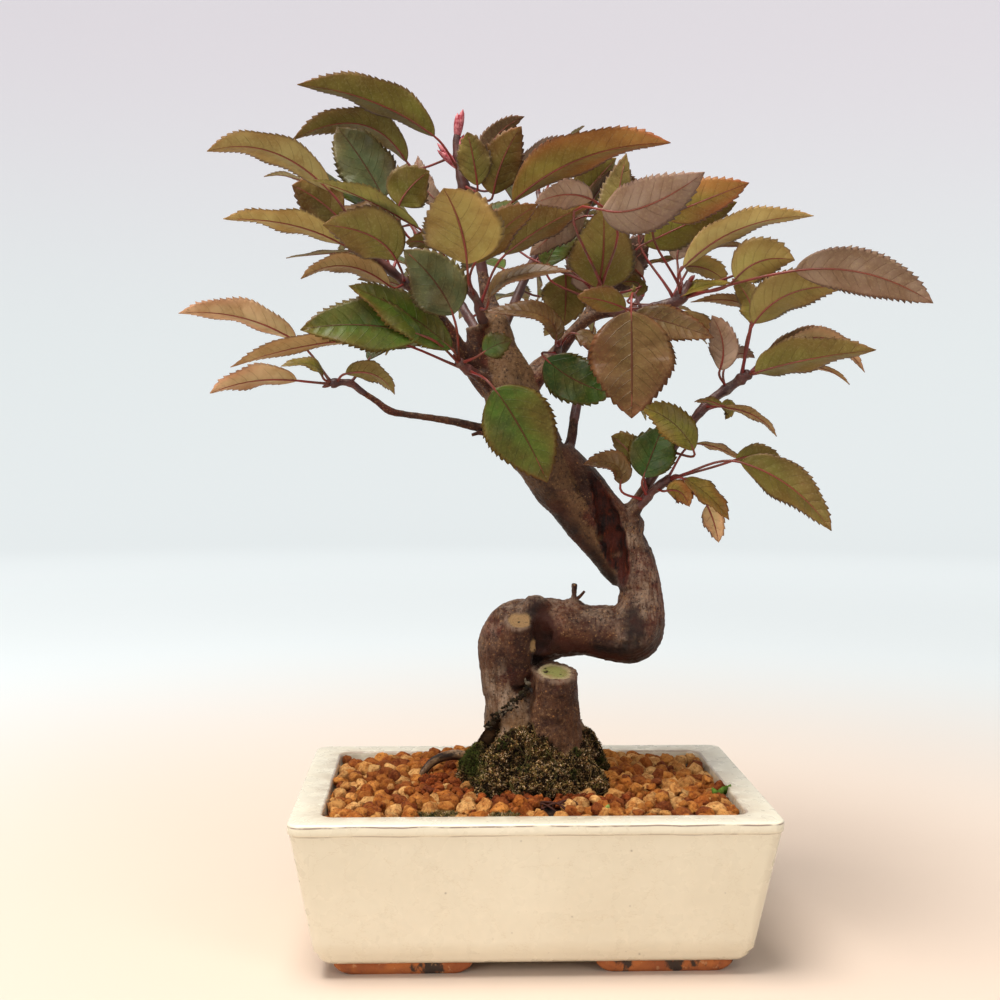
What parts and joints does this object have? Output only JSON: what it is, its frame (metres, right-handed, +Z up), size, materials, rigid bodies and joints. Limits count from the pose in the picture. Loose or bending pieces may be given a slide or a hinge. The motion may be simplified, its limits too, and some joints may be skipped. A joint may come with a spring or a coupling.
{
  "type": "apple bonsai in a pot",
  "caption": "Small apple tree trained as a bonsai: bent trunk with sawn stubs, toothed leaves on short shoots, clay-grain soil, shallow rectangular cream-glazed pot on low feet.",
  "frame": {"origin": "middle of the footprint of the whole plant and pot, on the surface it stands on", "axes": "+Z up, +Y away from the front, +X to the right as seen from the front"},
  "size_m": [0.2826, 0.2016, 0.3406],
  "materials": {
    "glaze": "glazed stoneware, cream with fine crackle",
    "screen": "moulded mesh",
    "soil": "dry baked clay grains",
    "bark": "rough bark",
    "moss": "dry moss",
    "leaf": "living leaf, slightly waxy"
  },
  "bodies": {
    "root": {"pot": "glaze", "drainage_screen_left": "screen", "drainage_screen_right": "screen", "soil": "soil", "trunk": "bark", "moss_mat": "moss", "shoot_low_left": "leaf", "shoot_upper_left": "leaf", "shoot_left_inner": "leaf", "shoot_inner": "leaf", "shoot_front_spur": "leaf", "shoot_leader": "leaf", "shoot_upper_right": "leaf", "shoot_right": "leaf", "shoot_right_middle": "leaf", "shoot_right_low": "leaf", "shoot_back_right": "leaf", "shoot_back_left": "leaf", "shoot_back": "leaf"}
  },
  "joints": []
}
